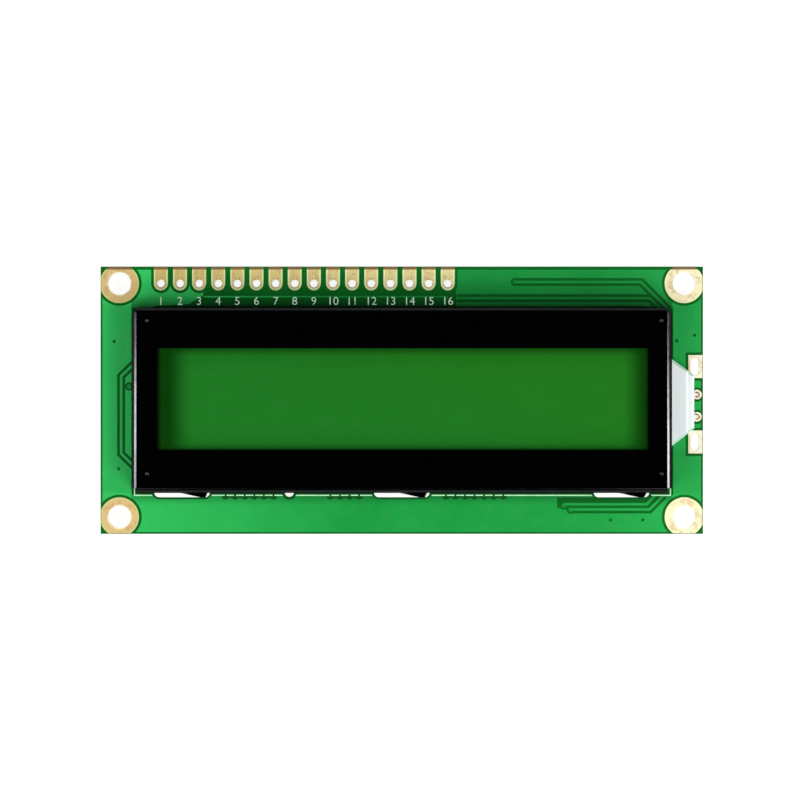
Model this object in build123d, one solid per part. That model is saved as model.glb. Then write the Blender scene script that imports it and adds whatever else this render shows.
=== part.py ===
from build123d import *
import os

# Character display module: a circuit board that carries a liquid crystal cell and its edge-lit
# backlight under a folded black steel bezel. Millimetres. The origin is the centre of the four
# mounting holes on the board's rear face, +X runs along the board, +Y points to the header row
# and +Z points out of the display.

# Circuit board and its four mounting holes
board_length = 80.0
board_width = 35.5
board_thickness = 1.6
mounting_side_inset = 2.5
mounting_edge_inset = 2.25
mounting_hole_diameter = 3.0
mounting_ring_width = 1.1

# Copper pads: how far they stand off the board, the wall of a plated hole, and their setback
# from the board's edge
pad_thickness = 0.05
plating_wall = 0.08
pad_setback = 0.08

# The many small holes, slots and pads have straight-sided rounds, to keep the model light
small_round_sides = 16

# Header row: plated holes with pads that run out to the board's upper edge
header_count = 16
header_pitch = 2.54
header_first_inset = 8.0
header_edge_inset = 2.25
header_hole_diameter = 1.0
header_ring_width = 0.425

# Backlight supply at the right edge: two slotted pads and two small pin pads
supply_pad_upper_y = 4.47
supply_pad_lower_y = -5.54
supply_slot_inset = 1.1
supply_slot_width = 1.1
supply_slot_length = 2.25
supply_side_ring = 0.3
supply_end_ring = 0.4
pin_pad_inset = 0.8
pin_ring_width = 0.28
pin_clearance = 0.05
pin_upper_y = 0.75
pin_lower_y = -2.2

# Bezel: folded sheet with a window, open corners and six tabs through slots in the board. Its
# margins are those of the board round it, and its borders are those round the window.
bezel_side_margin = 4.3
bezel_edge_margin = 5.5
bezel_height = 7.0
bezel_sheet = 0.4
bezel_inner_radius = 0.3
bezel_corner_cut = 0.65
window_side_border = 3.3
window_edge_border = 5.55
window_shift_x = 0.1
window_shift_y = 0.15
dimple_side_inset = 1.75
dimple_edge_inset = 2.15
dimple_shift = 0.35
dimple_diameter = 0.55
dimple_depth = 0.12
dimple_slope = 45.0
tab_inset = 6.5
tab_shift = 0.6
tab_width = 5.6
tab_tip_width = 5.0
tab_reach = 1.9
tab_twist = 12.0
tab_splay = 0.3
tab_end_clearance = 0.9
tab_inner_clearance = 0.2
upper_slot_margin = 0.05
lower_slot_margin = 0.65

# Locating hole, half hidden by the lower edge of the bezel
locating_hole_diameter = 1.2
locating_hole_x = -14.95

# Backlight housing: a moulded tray with two long slots for the rubber strips, and a tab that
# leaves the bezel under its right wall
housing_clearance = 0.2
housing_floor = 0.6
tray_left_wall = 1.55
tray_right_wall = 0.65
tray_rim = 1.3
outlet_root_upper_y = 5.56
outlet_root_lower_y = -6.2
outlet_end_upper_y = 3.33
outlet_end_lower_y = -3.75
outlet_end_inset = 1.2
outlet_ledge_length = 0.8
outlet_lift = 0.1
outlet_thickness = 1.5
outlet_step_height = 0.3
outlet_chamfer = 0.3
outlet_clearance = 0.15

# Backlight inside the housing
film_thickness = 0.2
part_clearance = 0.1
led_board_thickness = 0.5
led_board_margin = 0.7
led_count = 3
led_gap = 1.6
led_thickness = 0.7
led_edge_clearance = 0.6
led_frame_wall = 0.4
led_recess_depth = 0.2
lead_width = 0.45
lead_bend_radius = 0.4
lead_groove_clearance = 0.12
lead_tail = 0.9

# Liquid crystal cell: two glass plates with a polariser on each outer face
glass_clearance = 0.4
glass_thickness = 1.1
polariser_margin = 0.75
seal_width = 3.0
seal_thickness = 0.25
seal_radius = 0.4

# Conductive rubber strips and the row of contacts that each stands on
strip_end_inset = 1.8
strip_width = 2.0
contact_pitch = 1.5
contact_width = 0.9
contact_thickness = 0.04
contact_margin = 0.05

# Rear side: two chips under epoxy, and small chip resistors and capacitors
controller_inset = 26.0
driver_inset = 23.0
chip_y = -1.0
controller_blob_diameter = 15.0
driver_blob_diameter = 13.0
blob_height = 1.4
blob_bands = 3
controller_die_length = 4.4
controller_die_width = 3.5
driver_die_length = 3.6
driver_die_width = 2.9
die_thickness = 0.4
chip_length = 2.0
chip_width = 1.25
resistor_height = 0.5
capacitor_height = 0.8
chip_end_length = 0.4
chip_end_plating = 0.03
ladder_count = 5
ladder_pitch = 2.6
ladder_first_x = -3.2
ladder_slot_clearance = 2.15
clock_resistor_gap = 1.4
backlight_resistor_inset = 6.6
supply_capacitor_inset = 14.5
contrast_capacitor_inset = 12.5
capacitor_y = 6.0

# The board's edges, and the places of its pads and holes
board_front = board_thickness
board_right = board_length / 2
board_top = board_width / 2
mounting_x = board_right - mounting_side_inset
mounting_y = board_top - mounting_edge_inset
header_y = board_top - header_edge_inset
header_pad_width = header_hole_diameter + 2 * header_ring_width
supply_slot_x = board_right - supply_slot_inset
supply_pad_left = supply_slot_x - supply_slot_width / 2 - supply_side_ring
pin_x = board_right - pin_pad_inset
pin_hole_diameter = lead_width * 2**0.5 + 2 * pin_clearance

# The bezel, the slots for its tabs, and the locating hole
bezel_length = board_length - 2 * bezel_side_margin
bezel_width = board_width - 2 * bezel_edge_margin
bezel_top = board_front + bezel_height
bezel_under = bezel_top - bezel_sheet
bezel_inner_length = bezel_length - 2 * bezel_sheet
bezel_inner_width = bezel_width - 2 * bezel_sheet
bezel_wall_y = (bezel_width - bezel_sheet) / 2
window_length = bezel_length - 2 * window_side_border
window_width = bezel_width - 2 * window_edge_border
tab_xs = (tab_inset - bezel_length / 2, 0, bezel_length / 2 - tab_inset)
tab_slot_length = tab_width + 2 * tab_end_clearance
slot_inner_y = bezel_inner_width / 2 - tab_inner_clearance
locating_hole_y = -bezel_width / 2

# The display cell, from the window back to the lower glass, and the strips beside it
upper_glass_base = bezel_under - film_thickness - glass_thickness
lower_glass_base = upper_glass_base - glass_thickness
rear_polariser_base = lower_glass_base - film_thickness
glass_length = bezel_inner_length - 2 * glass_clearance
upper_glass_width = bezel_inner_width - 2 * glass_clearance
lower_glass_width = upper_glass_width - 2 * (strip_width + 3 * part_clearance)
strip_length = glass_length - 2 * strip_end_inset
strip_y = lower_glass_width / 2 + part_clearance + strip_width / 2
contact_count = int((strip_length - contact_width) / contact_pitch)

# The housing, its tray and outlet tab, and the backlight in it
housing_length = bezel_inner_length - 2 * housing_clearance
housing_width = bezel_inner_width - 2 * housing_clearance
housing_right = housing_length / 2
tray_floor = board_front + housing_floor
tray_left = tray_left_wall - housing_right
tray_right = housing_right - tray_right_wall
tray_width = lower_glass_width - 2 * tray_rim
outlet_end_x = board_right - outlet_end_inset
outlet_top = board_front + outlet_thickness
guide_base = tray_floor + film_thickness
guide_top = rear_polariser_base - film_thickness
guide_width = tray_width - 2 * part_clearance
led_board_right = tray_right - part_clearance
led_board_left = led_board_right - led_board_thickness
led_board_length = tray_width - 2 * led_board_margin
led_left = led_board_left - led_thickness
led_height = guide_top - guide_base - 2 * led_edge_clearance
led_spacing = led_board_length / led_count
led_width = led_spacing - led_gap
lead_z = board_front + lead_groove_clearance + lead_width / 2

# The chips and the small parts on the rear side
controller_x = controller_inset - board_right
driver_x = board_right - driver_inset
ladder_y = slot_inner_y - ladder_slot_clearance - chip_length / 2
clock_resistor_y = chip_y + controller_blob_diameter / 2 + clock_resistor_gap + chip_width / 2
backlight_resistor_x = board_right - backlight_resistor_inset
supply_capacitor_x = supply_capacitor_inset - board_right
contrast_capacitor_x = board_right - contrast_capacitor_inset


def prism(sketch, low, high):
    """Raises a flat sketch into a solid between two heights."""
    return extrude(Pos(0, 0, low) * sketch, high - low)


def span(left, right, width):
    """A rectangle that runs from one x to another, centred on the X axis."""
    return Pos((left + right) / 2, 0) * Rectangle(right - left, width)


def trim_to_board(sketch):
    """Cuts a pad's outline off at its setback from the board's edges."""
    return sketch & Rectangle(board_length - 2 * pad_setback, board_width - 2 * pad_setback)


def small_round(diameter):
    """A small round outline, drawn with straight sides."""
    return RegularPolygon(diameter / 2, small_round_sides)


def small_slot(length, width):
    """A slot along X with straight-sided round ends."""
    slot = Rectangle(length - width, width)
    for side in (-1, 1):
        slot += Pos(side * (length - width) / 2, 0) * small_round(width)
    return slot


def header_x(index):
    """The x of a header hole, counted from the left."""
    return -board_right + header_first_inset + index * header_pitch


def tab_slots():
    """The six slots that the bezel's tabs pass through, tight above and wide below."""
    slots = Sketch()
    for side, margin in ((1, upper_slot_margin), (-1, lower_slot_margin)):
        outer_y = bezel_width / 2 + margin
        slot = small_slot(tab_slot_length, outer_y - slot_inner_y)
        for x in tab_xs:
            slots += Pos(x, side * (slot_inner_y + outer_y) / 2) * slot
    return slots


def supply_slot(y, growth=0.0):
    """The slot in a backlight pad, grown by the plating where the board is cut."""
    length = supply_slot_length + 2 * growth
    width = supply_slot_width + 2 * growth
    return Pos(supply_slot_x, y) * Rot(0, 0, 90) * small_slot(length, width)


def mounting_corners():
    """The centres of the four mounting holes, by name."""
    return {
        "upper_left": (-mounting_x, mounting_y),
        "upper_right": (mounting_x, mounting_y),
        "lower_left": (-mounting_x, -mounting_y),
        "lower_right": (mounting_x, -mounting_y),
    }


def circuit_board():
    """The bare board with every drilled and milled opening."""
    outline = Rectangle(board_length, board_width)
    for x, y in mounting_corners().values():
        outline -= Pos(x, y) * small_round(mounting_hole_diameter + 2 * plating_wall)
    for index in range(header_count):
        drill = small_round(header_hole_diameter + 2 * plating_wall)
        outline -= Pos(header_x(index), header_y) * drill
    for y in (supply_pad_upper_y, supply_pad_lower_y):
        outline -= supply_slot(y, plating_wall)
    for y in (pin_upper_y, pin_lower_y):
        outline -= Pos(pin_x, y) * small_round(pin_hole_diameter + 2 * plating_wall)
    outline -= Pos(locating_hole_x, locating_hole_y) * small_round(locating_hole_diameter)
    outline -= tab_slots()
    return prism(outline, 0, board_front)


def plated_pad(front, rear, drill, bore):
    """A pad on each face of the board, joined by the plating inside its hole."""
    pad = prism(front, board_front, board_front + pad_thickness)
    pad += prism(drill, 0, board_front)
    pad += prism(rear, -pad_thickness, 0)
    return pad - prism(bore, -pad_thickness, board_front + pad_thickness)


def mounting_pad(x, y):
    """A mounting hole's ring, cut flat where it meets the board's edges."""
    ring = trim_to_board(Pos(x, y) * Circle(mounting_hole_diameter / 2 + mounting_ring_width))
    drill = Pos(x, y) * small_round(mounting_hole_diameter + 2 * plating_wall)
    bore = Pos(x, y) * Circle(mounting_hole_diameter / 2)
    return plated_pad(ring, ring, drill, bore)


def header_pad(x):
    """A header hole's pad: a tongue to the board's edge in front, a round land behind."""
    land = Pos(x, header_y) * small_round(header_pad_width)
    tongue_centre = (header_y + board_top) / 2
    tongue = Pos(x, tongue_centre) * Rectangle(header_pad_width, board_top - header_y)
    drill = Pos(x, header_y) * small_round(header_hole_diameter + 2 * plating_wall)
    bore = Pos(x, header_y) * small_round(header_hole_diameter)
    return plated_pad(trim_to_board(land + tongue), land, drill, bore)


def supply_pad(y):
    """A backlight supply pad with its plated slot."""
    height = supply_slot_length + 2 * supply_end_ring
    land = trim_to_board(Pos(0, y) * span(supply_pad_left, board_right, height))
    return plated_pad(land, land, supply_slot(y, plating_wall), supply_slot(y))


def pin_pad(y):
    """The round pad that a backlight lead is soldered in."""
    land = trim_to_board(Pos(pin_x, y) * small_round(pin_hole_diameter + 2 * pin_ring_width))
    drill = Pos(pin_x, y) * small_round(pin_hole_diameter + 2 * plating_wall)
    bore = Pos(pin_x, y) * small_round(pin_hole_diameter)
    return plated_pad(land, land, drill, bore)


def bezel_tab(x, side):
    """One tab: straight through the board, then splayed, twisted and narrowed below it."""
    root = Pos(x, side * bezel_wall_y) * Rectangle(tab_width, bezel_sheet)
    tip_place = Pos(x, side * (bezel_wall_y + tab_splay), -tab_reach) * Rot(0, 0, -tab_twist)
    tip = tip_place * Rectangle(tab_tip_width, bezel_sheet)
    return prism(root, 0, board_front) + loft([root, tip], ruled=True)


def bezel():
    """The folded sheet cover with its window, open corners, dimples and six tabs."""
    cover = prism(Rectangle(bezel_length, bezel_width), board_front, bezel_top)
    fold = cover.faces().sort_by(Axis.Z)[-1].edges()
    cover = fillet(fold, bezel_inner_radius + bezel_sheet)
    hollow = prism(Rectangle(bezel_inner_length, bezel_inner_width), board_front, bezel_under)
    cover -= fillet(hollow.faces().sort_by(Axis.Z)[-1].edges(), bezel_inner_radius)
    window = Pos(window_shift_x, window_shift_y) * Rectangle(window_length, window_width)
    cover -= prism(window, bezel_under, bezel_top)
    corner_cut = Rectangle(2 * bezel_corner_cut, 2 * bezel_corner_cut)
    for side_x in (-1, 1):
        for side_y in (-1, 1):
            corner = Pos(side_x * bezel_length / 2, side_y * bezel_width / 2)
            cover -= prism(corner * corner_cut, board_front, bezel_top)
            dimple_x = dimple_shift + side_x * (bezel_length / 2 - dimple_side_inset)
            dimple_y = dimple_shift + side_y * (bezel_width / 2 - dimple_edge_inset)
            dimple = Pos(dimple_x, dimple_y, bezel_top) * small_round(dimple_diameter)
            cover -= extrude(dimple, -dimple_depth, taper=dimple_slope)
    cover -= prism(outlet_outline(outlet_clearance), board_front, outlet_top + outlet_clearance)
    for x in tab_xs:
        for side in (-1, 1):
            cover += bezel_tab(x + tab_shift, side)
    return cover


def outlet_outline(growth=0.0):
    """The housing's outlet tab seen from the front, grown where the bezel makes room for it."""
    root_x = housing_right - outlet_chamfer - part_clearance
    return Polygon(
        (root_x, outlet_root_lower_y - growth),
        (bezel_length / 2, outlet_root_lower_y - growth),
        (outlet_end_x + growth, outlet_end_lower_y - growth),
        (outlet_end_x + growth, outlet_end_upper_y + growth),
        (bezel_length / 2, outlet_root_upper_y + growth),
        (root_x, outlet_root_upper_y + growth),
        align=None,
    )


def bevelled(outline, low, high):
    """A prism with its upper edges cut off at an angle."""
    block = prism(outline, low, high)
    return chamfer(block.faces().sort_by(Axis.Z)[-1].edges(), outlet_chamfer)


def outlet_tab():
    """The tab that leaves the bezel, a little clear of the board, with a thinner outer end."""
    under = board_front + outlet_lift
    ledge = bevelled(outlet_outline(), under, outlet_top - outlet_step_height)
    thick_part = outlet_outline() & span(0, outlet_end_x - outlet_ledge_length, board_width)
    return ledge + bevelled(thick_part, under, outlet_top)


def backlight_housing():
    """The moulded tray, open for the light guide and the rubber strips, with its outlet tab."""
    body = prism(Rectangle(housing_length, housing_width), board_front, lower_glass_base)
    body -= prism(span(tray_left, tray_right, tray_width), tray_floor, lower_glass_base)
    body += outlet_tab()
    lamp_well = span(led_left - part_clearance, tray_right, led_board_length + 2 * part_clearance)
    body -= prism(lamp_well, board_front, tray_floor)
    for side in (-1, 1):
        opening = Rectangle(strip_length + 2 * housing_clearance, strip_width + part_clearance)
        body -= prism(Pos(0, side * strip_y) * opening, board_front, lower_glass_base)
    groove_width = lead_width + 2 * lead_groove_clearance
    for y in (pin_upper_y, pin_lower_y):
        groove = Pos(0, y) * span(tray_right, board_right, groove_width)
        body -= prism(groove, board_front, lead_z + groove_width / 2)
    return body


def reflector_film():
    """The white sheet on the tray's floor that sends light forward."""
    outline = span(tray_left + part_clearance, led_left - part_clearance, guide_width)
    return prism(outline, tray_floor, guide_base)


def light_guide():
    """The clear block that spreads the lamps' light over the whole display."""
    outline = span(tray_left + part_clearance, led_left - part_clearance, guide_width)
    return prism(outline, guide_base, guide_top)


def diffuser_film():
    """The sheet that lies on the light guide and reaches over the lamps."""
    outline = span(tray_left + part_clearance, led_board_right, guide_width)
    return prism(outline, guide_top, guide_top + film_thickness)


def led_board():
    """The small upright board that carries the lamps at the right end of the tray."""
    outline = span(led_board_left, led_board_right, led_board_length)
    return prism(outline, board_front, guide_top)


def backlight_led(index):
    """One lamp on its board, with a shallow lens recess towards the light guide."""
    y = (index - (led_count - 1) / 2) * led_spacing
    middle = (guide_base + guide_top) / 2
    outline = Pos(0, y) * span(led_left, led_board_left, led_width)
    body = prism(outline, middle - led_height / 2, middle + led_height / 2)
    face = Plane(origin=(led_left, y, middle), z_dir=(-1, 0, 0))
    lens = Rectangle(led_height - 2 * led_frame_wall, led_width - 2 * led_frame_wall)
    return body - extrude(face * lens, -led_recess_depth)


def backlight_lead(y):
    """A square wire from the lamp board, under the outlet tab and down through its pin pad."""
    start = (led_board_right, y, lead_z)
    turn = (pin_x, y, lead_z)
    route = FilletPolyline(start, turn, (pin_x, y, -lead_tail), radius=lead_bend_radius)
    section = Plane(origin=start, z_dir=(1, 0, 0)) * Rectangle(lead_width, lead_width)
    return sweep(section, path=route)


def rear_polariser():
    """The polarising sheet bonded under the lower glass, inside the tray's rim."""
    outline = span(tray_left + part_clearance, led_board_right, guide_width)
    return prism(outline, rear_polariser_base, lower_glass_base)


def lower_glass():
    """The narrower glass plate, which rests on the tray's rim."""
    return prism(Rectangle(glass_length, lower_glass_width), lower_glass_base, upper_glass_base)


def upper_glass():
    """The wider glass plate, whose edges overhang to meet the rubber strips."""
    top = upper_glass_base + glass_thickness
    return prism(Rectangle(glass_length, upper_glass_width), upper_glass_base, top)


def front_polariser():
    """The polarising sheet seen in the window, a little larger than the window all round."""
    outline = Pos(window_shift_x, window_shift_y) * Rectangle(
        window_length + 2 * polariser_margin, window_width + 2 * polariser_margin
    )
    return prism(outline, bezel_under - film_thickness, bezel_under)


def fill_port_seal():
    """The drop of sealant on the end of the cell where the liquid crystal went in."""
    seal_x = -(glass_length + seal_thickness) / 2
    middle_z = (lower_glass_base + bezel_under - film_thickness) / 2
    seal = Box(seal_thickness, seal_width, glass_thickness)
    seal = fillet(seal.edges().filter_by(Axis.X), seal_radius)
    return Pos(seal_x, 0, middle_z) * seal


def conductive_strip(side):
    """The rubber strip that joins the board's contacts to the upper glass."""
    outline = Pos(0, side * strip_y) * Rectangle(strip_length, strip_width)
    return prism(outline, board_front + contact_thickness, upper_glass_base)


def contact_row(side):
    """The board's row of contacts under one rubber strip."""
    outline = Sketch()
    for index in range(contact_count):
        x = (index - (contact_count - 1) / 2) * contact_pitch
        contact = Rectangle(contact_width, strip_width - 2 * contact_margin)
        outline += Pos(x, side * strip_y) * contact
    return prism(outline, board_front, board_front + contact_thickness)


def silicon_die(x, length, width):
    """A bare chip bonded to the rear face of the board."""
    return prism(Pos(x, chip_y) * Rectangle(length, width), -die_thickness, 0)


def epoxy_blob(x, diameter, die):
    """The domed drop of epoxy over a bare chip, in conical bands that follow an ellipse."""
    dome = EllipticalCenterArc((0, 0), diameter / 2, blob_height, start_angle=270, arc_size=90)
    rings = [dome @ (band / blob_bands) for band in range(blob_bands + 1)]
    profile = make_face(Plane.XZ * Polyline(*rings, (0, 0), close=True))
    return Pos(x, chip_y) * revolve(profile, Axis.Z) - die


def chip_part(x, y, turn, height):
    """A surface-mounted resistor or capacitor with plated ends, on the rear face."""
    body = prism(Rectangle(chip_length - 2 * chip_end_plating, chip_width), -height, 0)
    for side in (-1, 1):
        end_x = side * (chip_length - chip_end_length) / 2
        end = Pos(end_x, 0) * Rectangle(chip_end_length, chip_width + 2 * chip_end_plating)
        body += prism(end, -height - chip_end_plating, 0)
    return Pos(x, y) * Rot(0, 0, turn) * body


def pieces():
    """Every piece of the module under the name of its node."""
    made = {"circuit_board": circuit_board()}
    for corner, (x, y) in mounting_corners().items():
        made["mounting_pad_" + corner] = mounting_pad(x, y)
    for index in range(header_count):
        made[f"header_pad_{index + 1:02d}"] = header_pad(header_x(index))
    made["supply_pad_upper"] = supply_pad(supply_pad_upper_y)
    made["supply_pad_lower"] = supply_pad(supply_pad_lower_y)
    made["pin_pad_upper"] = pin_pad(pin_upper_y)
    made["pin_pad_lower"] = pin_pad(pin_lower_y)
    made["backlight_lead_upper"] = backlight_lead(pin_upper_y)
    made["backlight_lead_lower"] = backlight_lead(pin_lower_y)
    made["bezel"] = bezel()
    made["backlight_housing"] = backlight_housing()
    made["reflector_film"] = reflector_film()
    made["light_guide"] = light_guide()
    made["diffuser_film"] = diffuser_film()
    made["led_board"] = led_board()
    for index in range(led_count):
        made[f"backlight_led_{index + 1}"] = backlight_led(index)
    made["rear_polariser"] = rear_polariser()
    made["lower_glass"] = lower_glass()
    made["upper_glass"] = upper_glass()
    made["front_polariser"] = front_polariser()
    made["fill_port_seal"] = fill_port_seal()
    for name, side in (("upper", 1), ("lower", -1)):
        made["conductive_strip_" + name] = conductive_strip(side)
        made["contact_row_" + name] = contact_row(side)
    made["controller_die"] = silicon_die(
        controller_x, controller_die_length, controller_die_width
    )
    made["driver_die"] = silicon_die(driver_x, driver_die_length, driver_die_width)
    made["controller_blob"] = epoxy_blob(
        controller_x, controller_blob_diameter, made["controller_die"]
    )
    made["driver_blob"] = epoxy_blob(driver_x, driver_blob_diameter, made["driver_die"])
    for index in range(ladder_count):
        x = ladder_first_x + index * ladder_pitch
        made[f"ladder_resistor_{index + 1}"] = chip_part(x, ladder_y, 90, resistor_height)
    made["clock_resistor"] = chip_part(controller_x, clock_resistor_y, 0, resistor_height)
    made["backlight_resistor"] = chip_part(backlight_resistor_x, ladder_y, 0, resistor_height)
    made["supply_capacitor"] = chip_part(supply_capacitor_x, capacitor_y, 90, capacitor_height)
    made["contrast_capacitor"] = chip_part(contrast_capacitor_x, capacitor_y, 90, capacitor_height)
    return made


os.makedirs("parts", exist_ok=True)
for node, piece in pieces().items():
    export_step(piece, f"parts/{node}.step")
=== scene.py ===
import math

import bmesh
import bpy
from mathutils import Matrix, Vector, noise


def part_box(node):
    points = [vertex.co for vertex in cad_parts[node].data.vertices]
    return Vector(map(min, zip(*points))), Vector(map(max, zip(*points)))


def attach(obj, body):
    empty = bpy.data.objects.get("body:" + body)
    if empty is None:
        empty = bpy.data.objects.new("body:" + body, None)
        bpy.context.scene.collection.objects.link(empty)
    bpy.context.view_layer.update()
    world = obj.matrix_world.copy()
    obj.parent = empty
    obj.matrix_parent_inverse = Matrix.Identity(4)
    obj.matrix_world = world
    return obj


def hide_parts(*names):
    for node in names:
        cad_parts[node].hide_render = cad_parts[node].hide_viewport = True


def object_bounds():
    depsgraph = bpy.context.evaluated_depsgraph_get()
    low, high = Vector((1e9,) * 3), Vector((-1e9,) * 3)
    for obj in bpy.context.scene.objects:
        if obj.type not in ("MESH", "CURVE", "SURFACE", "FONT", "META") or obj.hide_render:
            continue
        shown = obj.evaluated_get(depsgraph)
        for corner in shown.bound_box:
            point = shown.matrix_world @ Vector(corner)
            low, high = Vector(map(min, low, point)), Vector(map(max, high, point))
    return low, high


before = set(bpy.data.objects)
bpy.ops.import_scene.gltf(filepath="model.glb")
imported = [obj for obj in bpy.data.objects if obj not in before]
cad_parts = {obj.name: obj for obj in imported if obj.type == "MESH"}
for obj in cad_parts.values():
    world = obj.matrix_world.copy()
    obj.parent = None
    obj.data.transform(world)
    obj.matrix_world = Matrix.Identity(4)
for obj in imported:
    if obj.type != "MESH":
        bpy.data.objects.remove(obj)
cad_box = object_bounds()

# Outlines are drawn in millimetres in the frame's own axes, and meshes are scaled to metres
MM = 0.001
full_turn = 2 * math.pi
quarter_turn = math.pi / 2


def node_box(name):
    """A node's lowest and highest corners in millimetres."""
    low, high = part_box(name)
    return Vector(low) / MM, Vector(high) / MM


def node_centre(name):
    """The middle of a node's box in millimetres."""
    low, high = node_box(name)
    return (low + high) / 2


# Nodes by kind
header_names = [f"header_pad_{number:02d}" for number in range(1, 17)]
mounting_names = [
    "mounting_pad_" + corner
    for corner in ("upper_left", "upper_right", "lower_left", "lower_right")
]
supply_names = ["supply_pad_upper", "supply_pad_lower"]
pin_names = ["pin_pad_upper", "pin_pad_lower"]
lead_names = ["backlight_lead_upper", "backlight_lead_lower"]
lamp_names = [f"backlight_led_{number}" for number in range(1, 4)]
contact_names = ["contact_row_upper", "contact_row_lower"]
blob_names = ["controller_blob", "driver_blob"]
ladder_names = [f"ladder_resistor_{number}" for number in range(1, 6)]
resistor_names = ladder_names + ["clock_resistor", "backlight_resistor"]
capacitor_names = ["supply_capacitor", "contrast_capacitor"]
chip_part_names = resistor_names + capacitor_names

# The board's and the bezel's places
board_low, board_high = node_box("circuit_board")
bezel_low, bezel_high = node_box("bezel")
board_front = board_high.z
board_rear = board_low.z
controller_centre = node_centre("controller_blob")
driver_centre = node_centre("driver_blob")
ladder_y = node_centre(ladder_names[0]).y

# The header's holes sit in the round lower ends of their pads
header_low, header_high = node_box(header_names[0])
header_pad_width = header_high.x - header_low.x
header_hole_y = header_low.y + header_pad_width / 2
header_xs = [node_centre(name).x for name in header_names]

# The mounting holes' spacing, and the radii of round pads
mounting_spacing_x = 75.0
mounting_spacing_y = 31.0
mounting_pad_radius = 2.6
pin_pad_radius = 0.65

# The bezel's walls, the slots for its tabs, the locating hole and the dimples, as in the solids
bezel_wall_y = 12.25
tab_xs = (-29.2, 0.0, 29.2)
slot_length = 7.4
upper_slot = (11.65, 12.3)
lower_slot = (-12.9, -11.65)
locating_hole = (-14.95, -12.25, 0.6)
dimple_xs = (-33.6, 34.3)
dimple_ys = (-9.75, 10.45)

# Copper under the solder mask: its height, its distance from the board's edges and its gaps
copper_height = 0.02
copper_setback = 0.25
upper_setback = 0.42
copper_gap = 0.36
slot_rim = 0.25
upper_slot_rim = 0.1
past_edge = 1.0

# There is no copper under the bezel, nor this far outside its left, right and upper walls. The bare
# strips outside the left and right walls are painted shade, dark lines where shade falls beside those
# walls
bare_shade_left = 0.15
bare_shade_right = 0.35
bare_above = 0.05

# Front tracks, and the places beside the bezel that have no copper
track_width = 0.34
header_track_width = 0.2
front_tracks = [
    [(-35.2, 5.2), (-37.27, 3.2), (-37.27, -7.1), (-35.2, -9.1)],
    [(15.03, 15.7), (31.77, 15.7), (35.4, 12.07)],
    [(7.3, 13.55), (32.96, 13.55), (34.4, 12.1)],
    [(21.5, -13.81), (32.5, -13.81), (33.7, -12.61)],
    [(22.4, -14.5), (32.9, -14.5), (34.79, -12.61)],
]
header_track = [(-26.3, 13.75), (6.1, 13.75)]
bare_header = [
    (-33.4, 12.2),
    (-32.6, 12.55),
    (-28.3, 12.75),
    (-26.4, 13.9),
    (-26.2, 14.9),
    (-26.2, 18.5),
    (7.2, 18.5),
    (7.2, 12.2),
]
bare_rectangles = ((20.96, -13.46, 32.6, -12.9), (20.62, -14.3, 21.4, -12.9))

# Vias: rows as first x and count, with the copper's edge beside them, open ones, and sunk ones
via_row_y = -12.65
pour_line_y = via_row_y + 0.1
via_pitch = 1.27
via_rows = ((-23.4, 6), (-9.48, 4), (5.85, 7))
via_row_margin = (0.5, 0.33)
lone_vias = [(-36.22, 1.83), (15.03, 15.7), (21.5, -14.0), (22.4, -14.55)]
sunk_vias = [(-38.2, 7.8), (-37.6, -9.1), (27.7, -15.9), (32.0, -15.9), (36.5, 7.9), (38.87, 8.64)]
via_radius = 0.25
via_gap = 0.3
via_drill = 0.13
via_lift = 0.01
sunk_via_radius = 0.22

# Rear copper: its gaps, and the bend points of its tracks
rear_track_width = 0.25
rear_gap = 0.22
rear_header_gap = rear_gap + 0.1
rear_header_rim = 0.1
blob_gap = 0.5
chip_part_gap = 0.55
bus_pads = range(3, 11)
bus_middle = 6.5
bus_pitch = 1.3
bus_bend_y = 12.0
chip_entry = 4.0
link_count = 4
link_first = 3.4
link_pitch = 0.8
link_entry = 2.5
ladder_first = 2.2
ladder_pitch = 1.1
ladder_tail = 1.0
ladder_end = 0.8
fan_targets = (-19.4, -12.2, 12.6)
fan_pitch = 0.8
fan_bend_y = -11.4
fan_top_y = -6.5
fan_tail = 0.4
supply_track_bends = [(header_xs[-1], 13.2), (9.0, 10.4), (31.3, 10.4)]

# Tinned pads under the chip parts: half their length and width, and their height
footprint_half = (0.45, 0.78)
footprint_height = 0.03

# Print on the board: its height, the outline round the bezel and its breaks, and the numbers
silk_height = 0.012
silk_width = 0.15
outline_left = 0.12
outline_right = 0.05
outline_lift = 0.02
outline_rise = 1.05
outline_joint = 0.001
via_break = (0.13, 0.4)
slot_break = 0.5
number_height = 1.55
number_y = 12.66
number_thinning = -0.008
number_curve_steps = 3
blob_ring_gap = 0.9
blob_ring_width = 0.2

# Round outlines: the number of points on small and large ones
small_drill_steps = 16
sunk_via_steps = 20
via_steps = 24
mounting_steps = 64
blob_steps = 72
blob_ring_steps = 96

# The dimples' rounded floors
dimple_rim = 0.262
dimple_radius = 0.255
dimple_foot = 0.15
dimple_depth = 0.1
dimple_top = 0.004
dimple_bottom = 0.119
dimple_steps = 6

# The epoxy drops: their rings and steps, the rim's reach and sway, and the corners of a smooth face
drop_rings = 14
drop_steps = 72
drop_reach = 0.985
drop_sway = 0.02
drop_wave = 1.4
most_smooth_corners = 4

# Solder at the backlight leads: a cone behind the board and a dish in front
cone_sink = 0.05
cone_reach = 0.15
cone_radius = 0.6
cone_taper = 0.3
cone_steps = 6
dish_lift = 0.03
dish_profile = [(0.0, -0.5), (0.355, -0.5), (0.355, 0.0), (0.27, -0.06), (0.15, -0.1), (0.0, -0.11)]

# A ramp takes a start, an end and the values at both. Noise lies mostly within its limits
noise_limits = (0.3, 0.7)
patch_limits = (0.35, 0.65)
blotch_limits = (0.48, 0.66)

# Limits in the surface's direction, for the board's flat faces and the housing's slanted edges
flat_limits = (0.4, 0.6)
slant_limits = (0.3, 0.6)
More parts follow.
